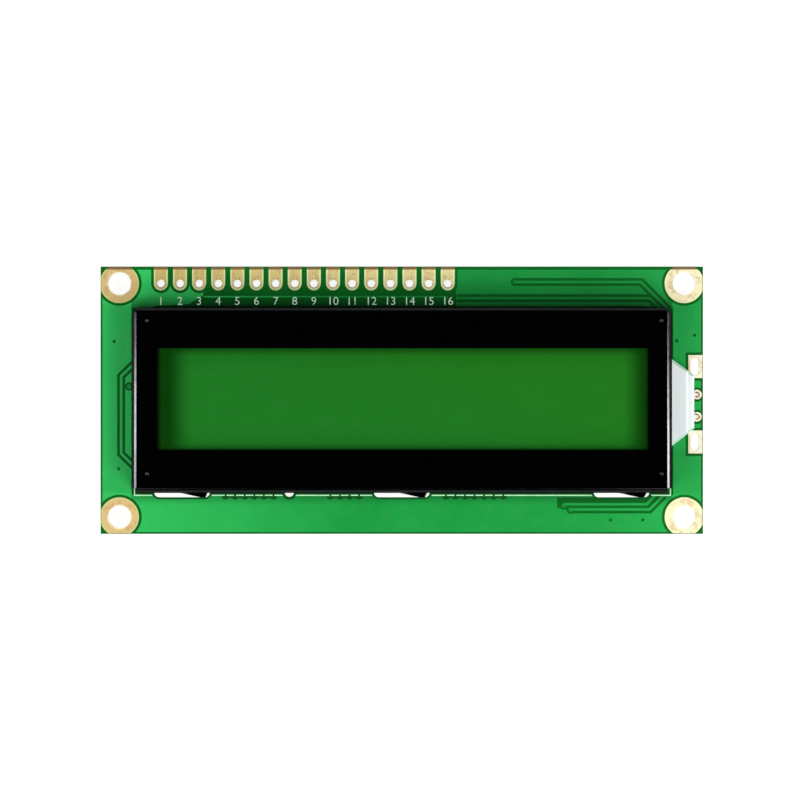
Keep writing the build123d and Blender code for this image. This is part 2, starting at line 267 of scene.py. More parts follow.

# Painted light and shade on the mask over copper: paler to the left and right, deeper towards the upper
# right
painted_light_leftwards = (-36.5, -4.0, 0.9, 0.0)
painted_light_upwards = (-14.0, -8.0, 0.72, 1.0)
painted_light_rightwards = (24.0, 38.0, 0.0, 0.3)
painted_shade_upwards = (11.5, 13.0, 0.0, 0.22)
painted_shade_rightwards = (-5.0, 12.0, 0.0, 1.0)

# Painted shade on the board beside the bezel's walls: its reach from each wall and its strength
side_shade_reach = 0.4
upper_shade_reach = 2.1
lower_shade_reach = 1.9
shade_fall = (0.1, 1.0, 1.0, 0.0)
shade_strength = (-bezel_wall_y, bezel_wall_y, 0.6, 0.75)

# Painted shade on the display: it brightens inwards from each edge of the window, over one or two
# distances
polariser_margin = 0.75
window_shade_rises = {
    "left": [(1.2, 4.8, 0.0, 1.0)],
    "right": [(0.2, 3.6, 0.0, 1.0)],
    "upper": [(0.0, 1.1, 0.3, 1.0), (0.0, 3.6, 0.8, 1.0)],
    "lower": [(0.0, 1.0, 0.35, 1.0), (0.0, 3.6, 0.8, 1.0)],
}
window_left_shade = (0.15, 0.6)
warm_slope = 3.0
warm_limits = (-20.0, 45.0)

# Plated pads: wear round the hole, rims, the board's edge, painted shade below header holes, marks above
# them, and blotches
worn_wander = 0.4
worn_fade = (0.1, 0.4)
header_worn = 0.5
mounting_worn = 1.55
supply_worn = 0.7
contact_worn = 0.4
header_rim = (header_pad_width / 2 - 0.28, header_pad_width / 2 - 0.14)
mounting_rim = (2.32, 2.47)
supply_rim = (1.0, 1.15)
contact_rim = (0.5, 0.65)
pad_edge = (board_high.y - 0.46, board_high.y - 0.34)
arc_fall = (0.52, 0.64, 0.8, 0.0)
arc_side = (-0.2, 0.1, 1.0, 0.0)
dot_place = (0.2, 0.62)
dot_fall = (0.06, 0.16, 0.6, 0.0)
blotch_share = 0.45
rim_share = 0.85

# Chip parts: where the ceramic turns into the tinned end, from the end inwards
chip_end_inner = 0.42
chip_end_outer = 0.38

# Lamps: azimuth and elevation in degrees, width and height in metres, and radiance
lamp_distance = 0.5
lamps = (
    ("left_strip", 181, 50, 0.02, 0.36, 28.0),
    ("right_strip", 358, 50, 0.024, 0.36, 33.0),
    ("lower_left_lamp", 230, 56, 0.22, 0.2, 5.2),
    ("lower_right_lamp", 310, 56, 0.22, 0.2, 8.2),
)

# The floor's half width in metres and its glow, and the sky's strength from low down to overhead
floor_half = 20.0
floor_glow = 0.88
sky_fade = {"From Min": 0.25, "From Max": 0.85, "To Min": 0.5, "To Max": 0.01}

# The camera: distance and clip in metres, and in millimetres its sensor, place and width of view
camera_distance = 1.2
camera_width = 106.24
camera_place = (-0.24, 0.03)
camera_sensor = 36
camera_clip = 100


def rgb(red, green, blue):
    """A colour as seen, from 0 to 255, as the linear colour that a shader takes."""
    linear = []
    for value in (red, green, blue):
        share = value / 255
        linear.append(share / 12.92 if share <= 0.04045 else ((share + 0.055) / 1.055) ** 2.4)
    return (*linear, 1.0)


def rectangle(left, low, right, high):
    """The corners of a rectangle between two corners."""
    return [(left, low), (right, low), (right, high), (left, high)]


def round_outline(x, y, radius, steps=40):
    """The points of a circle."""
    turns = [full_turn * step / steps for step in range(steps)]
    return [(x + radius * math.cos(turn), y + radius * math.sin(turn)) for turn in turns]


def slot_outline(left, low, right, high, steps=16):
    """A slot along X whose ends are half circles."""
    radius = (high - low) / 2
    middle = (high + low) / 2
    points = []
    for centre, start in ((right - radius, -quarter_turn), (left + radius, quarter_turn)):
        for step in range(steps + 1):
            turn = start + math.pi * step / steps
            points.append((centre + radius * math.cos(turn), middle + radius * math.sin(turn)))
    return points


def ribbon(path, width):
    """The outline of a strip of one width along a path, with mitred bends."""
    sharpest = 0.3
    left = []
    right = []
    for index, (x, y) in enumerate(path):
        before = Vector(path[max(index - 1, 0)])
        after = Vector(path[min(index + 1, len(path) - 1)])
        here = Vector((x, y))
        into = (here - before).normalized() if index else (after - here).normalized()
        out = (after - here).normalized() if index < len(path) - 1 else into
        along = (into + out).normalized()
        side = Vector((-along.y, along.x))
        reach = width / 2 / max(side.dot(Vector((-into.y, into.x))), sharpest)
        left.append(tuple(here + side * reach))
        right.append(tuple(here - side * reach))
    return right + left[::-1]


def box_outline(name, growth=0.0):
    """The outline of a node's box, grown on all sides."""
    low, high = node_box(name)
    return rectangle(low.x - growth, low.y - growth, high.x + growth, high.y + growth)


def scaled(scale):
    """The transform that scales a mesh alike along each axis."""
    return ((scale, 0, 0, 0), (0, scale, 0, 0), (0, 0, scale, 0), (0, 0, 0, 1))


def add_prism(mesh, outline, low, high):
    """Adds an upright prism on an outline to a mesh that is being built."""
    bottom = [mesh.verts.new((x, y, low)) for x, y in outline]
    top = [mesh.verts.new((x, y, high)) for x, y in outline]
    mesh.faces.new(bottom[::-1])
    mesh.faces.new(top)
    for index in range(len(outline)):
        after = (index + 1) % len(outline)
        mesh.faces.new((bottom[index], bottom[after], top[after], top[index]))


def piece_from(mesh, name, scale=MM):
    """Turns a mesh that was built in millimetres into an object."""
    bmesh.ops.recalc_face_normals(mesh, faces=mesh.faces)
    data = bpy.data.meshes.new(name)
    mesh.to_mesh(data)
    mesh.free()
    data.transform(scaled(scale))
    piece = bpy.data.objects.new(name, data)
    bpy.context.scene.collection.objects.link(piece)
    return piece


def prisms(name, outlines, low, high, scale=MM):
    """One object made of a prism on each outline."""
    mesh = bmesh.new()
    for outline in outlines:
        add_prism(mesh, outline, low, high)
    return piece_from(mesh, name, scale)


def evaluated_mesh(thing):
    """A new mesh of an object as its modifiers or its text leave it."""
    return bpy.data.meshes.new_from_object(
        thing.evaluated_get(bpy.context.evaluated_depsgraph_get())
    )


def cut_sheet(name, outlines, holes, low, high):
    """A thin sheet on the outlines, with every hole cut out of it."""
    knife_reach = 1.0
    sheet = prisms(name, outlines, low, high, scale=1.0)
    knife = prisms(name + "_knife", holes, low - knife_reach, high + knife_reach, scale=1.0)
    cut = sheet.modifiers.new("cut", "BOOLEAN")
    cut.object = knife
    cut.operation = "DIFFERENCE"
    cut.solver = "EXACT"
    cut.use_self = True
    bpy.context.view_layer.update()
    shaped = evaluated_mesh(sheet)
    sheet.modifiers.clear()
    sheet.data = shaped
    bpy.data.objects.remove(knife)
    shaped.transform(scaled(MM))
    return sheet


def lathe(mesh, x, y, profile, steps=28):
    """Adds a closed turned shape to a mesh: its profile starts and ends on the axis."""
    rows = []
    for radius, z in profile:
        if radius == 0:
            rows.append([mesh.verts.new((x, y, z))])
        else:
            rows.append([mesh.verts.new((*point, z)) for point in round_outline(x, y, radius, steps)])
    for first, second in zip(rows, rows[1:]):
        for step in range(steps):
            after = (step + 1) % steps
            if len(first) == 1:
                corners = (first[0], second[step], second[after])
            elif len(second) == 1:
                corners = (first[step], second[0], first[after])
            else:
                corners = (first[step], second[step], second[after], first[after])
            mesh.faces.new(corners).smooth = True


def place(piece, finish):
    """Gives a piece its material and slot, and lets it ride on the module."""
    piece.data.materials.append(finish)
    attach(piece, "root")


class Shader:
    """A material's node tree with short ways to add and join nodes."""

    def __init__(self, name):
        self.material = bpy.data.materials.new(name)
        self.material.use_nodes = True
        self.tree = self.material.node_tree
        self.surface = self.tree.nodes["Principled BSDF"]
        self.point = self.add("ShaderNodeTexCoord").outputs["Object"]
        self.split = self.add("ShaderNodeSeparateXYZ")
        self.feed(self.split.inputs[0], self.point)

    def add(self, kind, **settings):
        """A new node of a kind, with its settings."""
        node = self.tree.nodes.new(kind)
        for key, value in settings.items():
            setattr(node, key, value)
        return node

    def feed(self, socket, value):
        """Gives a socket a link or a constant."""
        if isinstance(value, bpy.types.NodeSocket):
            self.tree.links.new(value, socket)
        else:
            socket.default_value = value

    def math(self, operation, first, second=0.0, clamp=False):
        """One sum on two values."""
        node = self.add("ShaderNodeMath", operation=operation, use_clamp=clamp)
        self.feed(node.inputs[0], first)
        self.feed(node.inputs[1], second)
        return node.outputs[0]

    def plus(self, first, second, clamp=False):
        return self.math("ADD", first, second, clamp)

    def minus(self, first, second):
        return self.math("SUBTRACT", first, second)

    def times(self, first, *others):
        for other in others:
            first = self.math("MULTIPLY", first, other)
        return first

    def unsigned(self, value):
        return self.math("ABSOLUTE", value)

    def above_zero(self, value):
        return self.math("MAXIMUM", value, 0.0)

    def length(self, first, *others):
        """The length of a line whose parts along the axes are given."""
        square = self.times(first, first)
        for part in others:
            square = self.plus(square, self.times(part, part))
        return self.math("SQRT", square)

    def axis(self, letter):
        """One coordinate of the surface point, in millimetres."""
        return self.times(self.split.outputs[letter], 1 / MM)

    def facing(self, letter):
        """One part of the surface's direction in the frame's axes, without its sign."""
        split = self.add("ShaderNodeSeparateXYZ")
        self.feed(split.inputs[0], self.add("ShaderNodeTexCoord").outputs["Normal"])
        return self.unsigned(split.outputs[letter])

    def noise(self, size, detail=3.0, stretch=(1, 1, 1)):
        """Noise whose grains are about a given size in millimetres."""
        mapping = self.add("ShaderNodeMapping")
        self.feed(mapping.inputs["Vector"], self.point)
        mapping.inputs["Scale"].default_value = [share / (size * MM) for share in stretch]
        texture = self.add("ShaderNodeTexNoise")
        self.feed(texture.inputs["Vector"], mapping.outputs[0])
        texture.inputs["Scale"].default_value = 1.0
        texture.inputs["Detail"].default_value = detail
        return texture.outputs[0]

    def ramp(self, value, start, end, first=0.0, last=1.0):
        """A smooth change from one value to another between two limits."""
        node = self.add("ShaderNodeMapRange", interpolation_type="SMOOTHSTEP")
        self.feed(node.inputs["Value"], value)
        node.inputs["From Min"].default_value = start
        node.inputs["From Max"].default_value = end
        node.inputs["To Min"].default_value = first
        node.inputs["To Max"].default_value = last
        return node.outputs[0]

    def wander(self, grain, low=0.0, high=1.0, detail=3.0):
        """A value that wanders between two limits, in patches of a given size."""
        return self.ramp(self.noise(grain, detail), *noise_limits, low, high)

    def mix(self, share, first, second):
        """A colour between two colours, by the mix node's sockets for colours."""
        node = self.add("ShaderNodeMix", data_type="RGBA")
        self.feed(node.inputs[0], share)
        self.feed(node.inputs[6], first)
        self.feed(node.inputs[7], second)
        return node.outputs[2]

    def wall_shade(self):
        """The share of painted shade, highest beside the bezel's walls and most of all along its upper
        one.
        """
        y = self.axis("Y")
        beside = self.above_zero(self.minus(self.unsigned(self.axis("X")), bezel_high.x))
        above = self.above_zero(self.minus(y, bezel_wall_y))
        below = self.above_zero(self.minus(-bezel_wall_y, y))
        away = self.length(
            self.math("DIVIDE", beside, side_shade_reach),
            self.math("DIVIDE", above, upper_shade_reach),
            self.math("DIVIDE", below, lower_shade_reach),
        )
        return self.times(self.ramp(away, *shade_fall), self.ramp(y, *shade_strength))

    def finish(self, colour, roughness, relief=None, strength=0.1, depth=0.02):
        """Joins colour, roughness and a fine relief to the surface and returns the material."""
        self.feed(self.surface.inputs["Base Color"], colour)
        self.feed(self.surface.inputs["Roughness"], roughness)
        if relief is not None:
            bump = self.add("ShaderNodeBump")
            bump.inputs["Strength"].default_value = strength
            bump.inputs["Distance"].default_value = depth * MM
            self.feed(bump.inputs["Height"], self.noise(relief))
            self.feed(self.surface.inputs["Normal"], bump.outputs[0])
        return self.material


def plain_finish(name, dark, light, grain, roughness, spread=0.08, strength=0.15, **sockets):
    """A material that wanders between two close colours, with grain in its gloss and relief."""
    colour_patch = 12 * grain
    gloss_patch = 5 * grain
    shader = Shader(name)
    colour = shader.mix(shader.ramp(shader.noise(colour_patch), *patch_limits), dark, light)
    rough = shader.wander(gloss_patch, roughness - spread, roughness + spread)
    for socket, value in sockets.items():
        shader.surface.inputs[socket.replace("_", " ")].default_value = value
    return shader.finish(colour, rough, grain, strength)


def mask_finish(name, shade, tint):
    """Solder mask over copper: glossy lacquer, with painted light that makes it palest at the board's
    left end, and painted shade towards the upper right and beside the bezel's walls.
    """
    shader = Shader(name)
    x = shader.axis("X")
    y = shader.axis("Y")
    # Painted light: the mask is paler towards the board's left end and a little towards its right end
    left = shader.times(shader.ramp(x, *painted_light_leftwards), shader.ramp(y, *painted_light_upwards))
    right = shader.ramp(x, *painted_light_rightwards)
    cloud = shader.wander(grain=9.0, low=0.0, high=0.1, detail=1.0)
    colour = shader.mix(shader.plus(shader.plus(left, right), cloud, clamp=True), shade, tint)
    # Painted shade: the mask is deeper towards the upper right
    deep = shader.times(shader.ramp(y, *painted_shade_upwards), shader.ramp(x, *painted_shade_rightwards))
    colour = shader.mix(deep, colour, rgb(18, 104, 46))
    # Painted shade beside the bezel's walls, on the mask over copper
    colour = shader.mix(shader.wall_shade(), colour, rgb(6, 78, 26))
    rough = shader.wander(grain=1.2, low=0.16, high=0.24)
    return shader.finish(colour, rough, relief=0.25, strength=0.06, depth=0.01)


def board_finish():
    """The bare board: dark mask on its faces, with painted shade beside the bezel's walls, and pale
    layered glass fibre on its cut edges.
    """
    shader = Shader("board")
    mask = shader.mix(shader.wander(grain=4.0), rgb(2, 96, 27), rgb(5, 104, 32))
    # Painted shade beside the bezel's walls, on the bare board
    mask = shader.mix(shader.wall_shade(), mask, rgb(0, 42, 8))
    layers = shader.ramp(shader.noise(0.09, stretch=(0.15, 0.15, 1)), *patch_limits)
    fibre = shader.mix(layers, rgb(128, 142, 74), rgb(176, 182, 120))
    upright = shader.facing("Z")
    colour = shader.mix(shader.ramp(upright, *flat_limits), fibre, mask)
    rough = shader.ramp(upright, *flat_limits, first=0.7, last=0.2)
    return shader.finish(colour, rough, relief=0.2, strength=0.15, depth=0.01)


def header_marks(shader, across, up, distance, colour):
    """A brown arc of painted shade below a header hole, and two brown dots above it."""
    # Painted shade along the lower edge of the hole's bore
    arc = shader.times(shader.ramp(distance, *arc_fall), shader.ramp(up, *arc_side))
    colour = shader.mix(arc, colour, rgb(148, 124, 84))
    aside = shader.minus(shader.unsigned(across), dot_place[0])
    lift = shader.minus(up, dot_place[1])
    dots = shader.ramp(shader.length(aside, lift), *dot_fall)
    return shader.mix(dots, colour, rgb(140, 100, 66))


def gold_finish(name, centre, worn_reach, tan, pale, rim_colour, rim_limits, is_header=False):
    """Plated copper: tan, worn pale round the hole, pale at its rim and brown at the cut edge."""
    shader = Shader(name)
    across = shader.minus(shader.axis("X"), centre.x)
    up = shader.minus(shader.axis("Y"), centre.y)
    distance = shader.length(across, up)
    uneven = shader.plus(distance, shader.times(shader.noise(0.5), worn_wander))
    worn_start, worn_end = (worn_reach + fade for fade in worn_fade)
    colour = shader.mix(shader.ramp(uneven, worn_start, worn_end), pale, tan)
    blotch = shader.ramp(shader.noise(0.7, detail=2.0), *blotch_limits)
    colour = shader.mix(shader.times(blotch, blotch_share), colour, rgb(188, 140, 88))
    outward = distance
    if is_header:
        outward = shader.length(across, shader.math("MINIMUM", up, 0.0))
        colour = header_marks(shader, across, up, distance, colour)
    outer = shader.ramp(outward, *rim_limits)
    colour = shader.mix(shader.times(outer, rim_share), colour, rim_colour)
    colour = shader.mix(shader.ramp(shader.axis("Y"), *pad_edge), colour, rgb(126, 92, 54))
    shader.surface.inputs["Metallic"].default_value = 0.2
    rough = shader.wander(grain=0.4, low=0.42, high=0.6)
    return shader.finish(colour, rough, relief=0.12, strength=0.2, depth=0.01)


def display_finish():
    """The unlit display: deep green glass, with painted shade that darkens it towards the window's
    edges.
    """
    low, high = node_box("front_polariser")
    shader = Shader("display")
    x = shader.axis("X")
    y = shader.axis("Y")
    inward = {
        "left": shader.minus(x, low.x + polariser_margin),
        "right": shader.minus(high.x - polariser_margin, x),
        "upper": shader.minus(high.y - polariser_margin, y),
        "lower": shader.minus(y, low.y + polariser_margin),
    }
    light = shader.wander(grain=9.0, low=0.96, high=1.0)
    # Painted shade: the share of light falls towards each edge of the window
    for side, rises in window_shade_rises.items():
        for rise in rises:
            light = shader.times(light, shader.ramp(inward[side], *rise))
    warm = shader.ramp(shader.plus(x, shader.times(y, warm_slope)), *warm_limits)
    centre = shader.mix(warm, rgb(28, 112, 32), rgb(31, 111, 24))
    # Painted shade: darker green towards the window's edges
    colour = shader.mix(light, rgb(7, 56, 5), centre)
    # Painted shade: a darker rim along the window's left edge
    inside = shader.ramp(inward["left"], *window_left_shade)
    colour = shader.mix(inside, rgb(6, 32, 4), colour)
    rough = shader.wander(grain=2.0, low=0.1, high=0.15)
    return shader.finish(colour, rough, relief=0.15, strength=0.05, depth=0.005)


def outlet_finish():
    """The housing's pale plastic, with painted green light on its slanted edges, where the board's green
    shows through them.
    """
    shader = Shader("housing")
    pale = shader.mix(shader.wander(grain=2.5), rgb(242, 251, 251), rgb(248, 254, 254))
    # Painted light: a mint tint on the slanted faces, by their direction
    slant = shader.ramp(shader.facing("Y"), *slant_limits)
    colour = shader.mix(slant, pale, rgb(190, 226, 208))
    shader.surface.inputs["Subsurface Weight"].default_value = 0.15
    shader.surface.inputs["Subsurface Scale"].default_value = 0.4 * MM
    rough = shader.wander(grain=0.6, low=0.36, high=0.46)
    return shader.finish(colour, rough, relief=0.2, strength=0.1, depth=0.01)


def chip_finish(name, body):
    """A chip part: its ceramic body in the middle and its tinned ends."""
    low, high = node_box(name)
    size = high - low
    centre = node_centre(name)
    letter, middle = ("X", centre.x) if size.x > size.y else ("Y", centre.y)
    half = max(size.x, size.y) / 2
    shader = Shader(name)
    away = shader.unsigned(shader.minus(shader.axis(letter), middle))
    end = shader.ramp(away, half - chip_end_inner, half - chip_end_outer)
    tin = shader.mix(shader.wander(grain=0.3), rgb(176, 178, 176), rgb(208, 208, 204))
    colour = shader.mix(end, body, tin)
    shader.feed(shader.surface.inputs["Metallic"], shader.times(end, 0.8))
    rough = shader.wander(grain=0.2, low=0.34, high=0.5)
    return shader.finish(colour, rough, relief=0.08, strength=0.2, depth=0.01)


# Materials in two close colours, with the size of their grain in millimetres and their roughness
metal_finish = plain_finish("solder", rgb(186, 188, 186), rgb(222, 222, 216), 0.12, 0.3, Metallic=0.85)
# Painted shade: the dark colour of the solder dishes that sit in the lead holes in front
hole_shade_finish = plain_finish("hole_shade", rgb(16, 15, 12), rgb(34, 30, 22), 0.1, 0.25)
lead_finish = plain_finish(
    "tinned_lead", rgb(222, 208, 182), rgb(236, 226, 204), 0.1, 0.4, Metallic=0.2
)
silk_finish = plain_finish("silk", rgb(208, 248, 216), rgb(224, 254, 230), 0.12, 0.6)
outline_finish = plain_finish("silk_outline", rgb(166, 224, 176), rgb(188, 238, 196), 0.12, 0.6)
paint_finish = plain_finish(
    "black_paint", rgb(46, 47, 48), rgb(50, 51, 52), 0.15, 0.1, spread=0.015, strength=0.02,
    Metallic=1.0, Specular_Tint=(0.1, 0.1, 0.1, 1.0),
)
glass_finish = plain_finish(
    "cell_glass", rgb(176, 208, 184), rgb(190, 218, 196), 0.3, 0.08, spread=0.03, strength=0.03,
    Transmission_Weight=0.8,
)
film_finish = plain_finish("film", rgb(226, 228, 224), rgb(238, 238, 234), 0.2, 0.5)
clear_finish = plain_finish(
    "clear_plastic", rgb(214, 232, 222), rgb(226, 240, 232), 0.3, 0.12, spread=0.04, strength=0.04,
    Transmission_Weight=0.8,
)
rubber_finish = plain_finish("strip_rubber", rgb(188, 96, 92), rgb(206, 120, 112), 0.1, 0.7)
lamp_board_finish = plain_finish("lamp_board", rgb(214, 216, 208), rgb(230, 230, 222), 0.15, 0.5)
lamp_finish = plain_finish("lamp", rgb(226, 206, 110), rgb(240, 224, 140), 0.08, 0.5)
silicon_finish = plain_finish(
    "silicon", rgb(74, 78, 88), rgb(96, 100, 110), 0.06, 0.18, spread=0.05, Metallic=0.5
)
sealant_finish = plain_finish("sealant", rgb(190, 160, 104), rgb(212, 184, 128), 0.1, 0.25)
epoxy_finish = plain_finish("epoxy", rgb(14, 14, 15), rgb(24, 24, 25), 0.35, 0.28, strength=0.25)
# The second colour is the painted light at the board's ends
copper_finish = mask_finish("mask_on_copper", rgb(24, 150, 62), rgb(52, 196, 96))


def mounting_centre(name):
    """The centre of a mounting hole, from the corner that its pad's name gives."""
    side_x = 1 if name.endswith("right") else -1
    side_y = 1 if "upper" in name else -1
    return Vector((side_x * mounting_spacing_x / 2, side_y * mounting_spacing_y / 2, 0))


def pad_finishes():
    """A material for each plated pad, paler towards the right end of the board."""
    finishes = {}
    for number, (name, x) in enumerate(zip(header_names, header_xs)):
        hole = Vector((x, header_hole_y, 0))
        right = number / len(header_names)
        tan = rgb(198 + 26 * right, 176 + 38 * right, 102 + 48 * right)
        pale = rgb(236 + 8 * right, 226 + 8 * right, 180 + 20 * right)
        rim = rgb(212 + 18 * right, 228 + 12 * right, 160 + 28 * right)
        finishes[name] = gold_finish(name, hole, header_worn, tan, pale, rim, header_rim, is_header=True)
    for name in mounting_names:
        right = name.endswith("right")
        tan = rgb(240, 232, 186) if right else rgb(210, 182, 120)
        pale = rgb(250, 246, 218) if right else rgb(246, 236, 190)
        rim = rgb(236, 236, 184) if right else rgb(200, 202, 122)
        centre = mounting_centre(name)
        finishes[name] = gold_finish(name, centre, mounting_worn, tan, pale, rim, mounting_rim)
    tan = rgb(246, 232, 196)
    pale = rgb(252, 246, 226)
    rim = rgb(248, 244, 214)
    for name in supply_names + pin_names:
        centre = node_centre(name)
        finishes[name] = gold_finish(name, centre, supply_worn, tan, pale, rim, supply_rim)
    tan = rgb(208, 176, 100)
    pale = rgb(222, 196, 130)
    for name in contact_names:
        centre = node_centre(name)
        finishes[name] = gold_finish(name, centre, contact_worn, tan, pale, pale, contact_rim)
    return finishes


def dress_nodes():
    """Gives every node its material, apart from the two drops that are replaced."""
    finishes = {
        "circuit_board": board_finish(),
        "bezel": paint_finish,
        "backlight_housing": outlet_finish(),
        "reflector_film": film_finish,
        "diffuser_film": film_finish,
        "light_guide": clear_finish,
        "led_board": lamp_board_finish,
        "rear_polariser": glass_finish,
        "lower_glass": glass_finish,
        "upper_glass": glass_finish,
        "front_polariser": display_finish(),
        "fill_port_seal": sealant_finish,
        "conductive_strip_upper": rubber_finish,
        "conductive_strip_lower": rubber_finish,
        "controller_die": silicon_finish,
        "driver_die": silicon_finish,
    }
    finishes.update({name: lead_finish for name in lead_names})
    finishes.update({name: lamp_finish for name in lamp_names})
    finishes.update(pad_finishes())
    finishes.update({name: chip_finish(name, rgb(22, 22, 24)) for name in resistor_names})
    finishes.update({name: chip_finish(name, rgb(150, 118, 84)) for name in capacitor_names})
    for name, finish in finishes.items():
        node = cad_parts[name]
        node.data.materials.clear()
        node.data.materials.append(finish)


def row_vias():
    """The vias that line the lower edge of the bezel."""
    vias = []
    for first, count in via_rows:
        vias += [(first + index * via_pitch, via_row_y) for index in range(count)]
    return vias


def shared_holes():
    """The copper's openings on both faces: at pads, at the tabs' slots and at the locating hole."""
    holes = []
    for name in mounting_names:
        centre = mounting_centre(name)
        radius = mounting_pad_radius + copper_gap
        holes.append(round_outline(centre.x, centre.y, radius, mounting_steps))
    for name in supply_names:
        holes.append(box_outline(name, copper_gap))
    for name in pin_names:
        centre = node_centre(name)
        holes.append(round_outline(centre.x, centre.y, pin_pad_radius + via_gap))
    for x in tab_xs:
        left = x - slot_length / 2 - slot_rim
        right = x + slot_length / 2 + slot_rim
        for (low, high), upper_rim in ((upper_slot, upper_slot_rim), (lower_slot, slot_rim)):
            holes.append(slot_outline(left, low - slot_rim, right, high + upper_rim))
    hole_x, hole_y, radius = locating_hole
    holes.append(round_outline(hole_x, hole_y, radius + copper_gap))
    return holes


def front_holes():
    """Every opening in the front copper."""
    holes = shared_holes()
    # Bare under the bezel; the strips just outside its left and right walls are painted shade
    left = bezel_low.x - bare_shade_left
    right = bezel_high.x + bare_shade_right
    holes.append(rectangle(left, pour_line_y, right, bezel_wall_y + bare_above))
    beside, below = via_row_margin
    for first, count in via_rows:
        last = first + (count - 1) * via_pitch
        holes.append(rectangle(first - beside, via_row_y - below, last + beside, pour_line_y))
    reach = header_pad_width / 2 + copper_gap
    for x in header_xs:
        holes.append(round_outline(x, header_hole_y, reach))
        holes.append(rectangle(x - reach, header_hole_y, x + reach, board_high.y + past_edge))
    holes.append(bare_header)
    holes += [rectangle(*corners) for corners in bare_rectangles]
    holes += [ribbon(track, track_width + 2 * copper_gap) for track in front_tracks]
    for x, y in row_vias() + lone_vias:
        holes.append(round_outline(x, y, via_radius + via_gap, via_steps))
    for x, y in sunk_vias:
        holes.append(round_outline(x, y, sunk_via_radius, sunk_via_steps))
    return holes


def board_sheet():
    """The outline that copper keeps inside the board's edges."""
    return rectangle(
        board_low.x + copper_setback,
        board_low.y + copper_setback,
        board_high.x - copper_setback,
        board_high.y - upper_setback,
    )


def circuit_front():
    """The copper, tracks and vias that the front mask covers."""
    top = board_front + copper_height
    pour = cut_sheet("front_copper", [board_sheet()], front_holes(), board_front, top)
    tracks = [ribbon(track, track_width) for track in front_tracks]
    tracks.append(ribbon(header_track, header_track_width))
    under_bezel = rectangle(bezel_low.x, -bezel_wall_y, bezel_high.x, bezel_wall_y)
    lines = cut_sheet("front_tracks", tracks, [under_bezel], board_front, top)
    rings = [round_outline(x, y, via_radius, via_steps) for x, y in lone_vias]
    drills = [round_outline(x, y, via_drill, small_drill_steps) for x, y in lone_vias]
    vias = cut_sheet("front_vias", rings, drills, board_front, top + via_lift)
    for piece in (pour, lines, vias):
        place(piece, copper_finish)


def chip_tracks():
    """Rear tracks from the header to the controller, between the chips and from the ladder."""
    chip = controller_centre
    paths = []
    for index in bus_pads:
        x = header_xs[index]
        target = chip.x + (index - bus_middle) * bus_pitch
        bend = bus_bend_y - abs(x - target)
        paths.append(
            [(x, header_hole_y), (x, bus_bend_y), (target, bend), (target, chip.y + chip_entry)]
        )
    for index in range(link_count):
        y = chip.y - link_first - link_pitch * index
        paths.append([(chip.x + chip_entry, y), (driver_centre.x - link_entry, y)])
    for index, name in enumerate(ladder_names):
        x = node_centre(name).x
        y = chip.y - ladder_first + ladder_pitch * index
        paths.append([(x, ladder_y - ladder_tail), (x, y), (driver_centre.x - chip_entry, y)])
    return paths


def rear_tracks():
    """The paths of the rear tracks, which run in under the epoxy over each chip."""
    paths = chip_tracks()
    for index, (first, second) in enumerate(zip(ladder_names, ladder_names[1:])):
        y = ladder_y - ladder_end if index % 2 else ladder_y + ladder_end
        paths.append([(node_centre(first).x, y), (node_centre(second).x, y)])
    for (first, count), target in zip(via_rows, fan_targets):
        for index in range(count):
            x = first + index * via_pitch
            goal = target + fan_pitch * index
            bend = fan_bend_y + abs(goal - x)
            end = max(bend, fan_top_y) + fan_tail
            paths.append([(x, via_row_y), (x, fan_bend_y), (goal, bend), (goal, end)])
    supply = node_centre("backlight_resistor")
    start = (header_xs[-1], header_hole_y)
    paths.append([start] + supply_track_bends + [(supply.x - ladder_end, supply.y)])
    return paths


def rear_holes(paths, vias):
    """Every opening in the rear copper."""
    holes = shared_holes()
    for x in header_xs:
        holes.append(round_outline(x, header_hole_y, header_pad_width / 2 + rear_header_gap))
    for name in blob_names:
        centre = node_centre(name)
        radius = node_box(name)[1].x - centre.x + blob_gap
        holes.append(round_outline(centre.x, centre.y, radius, blob_steps))
    holes += [box_outline(name, chip_part_gap) for name in chip_part_names]
    holes += [ribbon(path, rear_track_width + 2 * rear_gap) for path in paths]
    holes += [round_outline(x, y, via_radius + via_gap, via_steps) for x, y in vias]
    return holes


def footprints():
    """The outlines of the tinned pads under both ends of each chip part."""
    along, across = footprint_half
    pads = []
    for name in chip_part_names:
        low, high = node_box(name)
        size = high - low
        centre = node_centre(name)
        for side in (-1, 1):
            if size.x > size.y:
                x = centre.x + side * size.x / 2
                low_y, high_y = centre.y - across, centre.y + across
                pads.append(rectangle(x - along, low_y, x + along, high_y))
            else:
                y = centre.y + side * size.y / 2
                low_x, high_x = centre.x - across, centre.x + across
                pads.append(rectangle(low_x, y - along, high_x, y + along))
    return pads


def circuit_rear():
    """The copper, tracks and vias of the rear face, and the tinned pads under the chip parts."""
    low = board_rear - copper_height
    paths = rear_tracks()
    vias = row_vias() + lone_vias
    pour = cut_sheet("rear_copper", [board_sheet()], rear_holes(paths, vias), low, board_rear)
    lines = [ribbon(path, rear_track_width) for path in paths]
    lines += [round_outline(x, y, via_radius, via_steps) for x, y in vias]
    drills = [round_outline(x, y, via_drill, small_drill_steps) for x, y in vias]
    header_radius = header_pad_width / 2 - rear_header_rim
    drills += [round_outline(x, header_hole_y, header_radius) for x in header_xs]
    tracks = cut_sheet("rear_tracks", lines, drills, low, board_rear)
    for piece in (pour, tracks):
        place(piece, copper_finish)
    pads = prisms("rear_footprints", footprints(), board_rear - footprint_height, board_rear)
    place(pads, metal_finish)


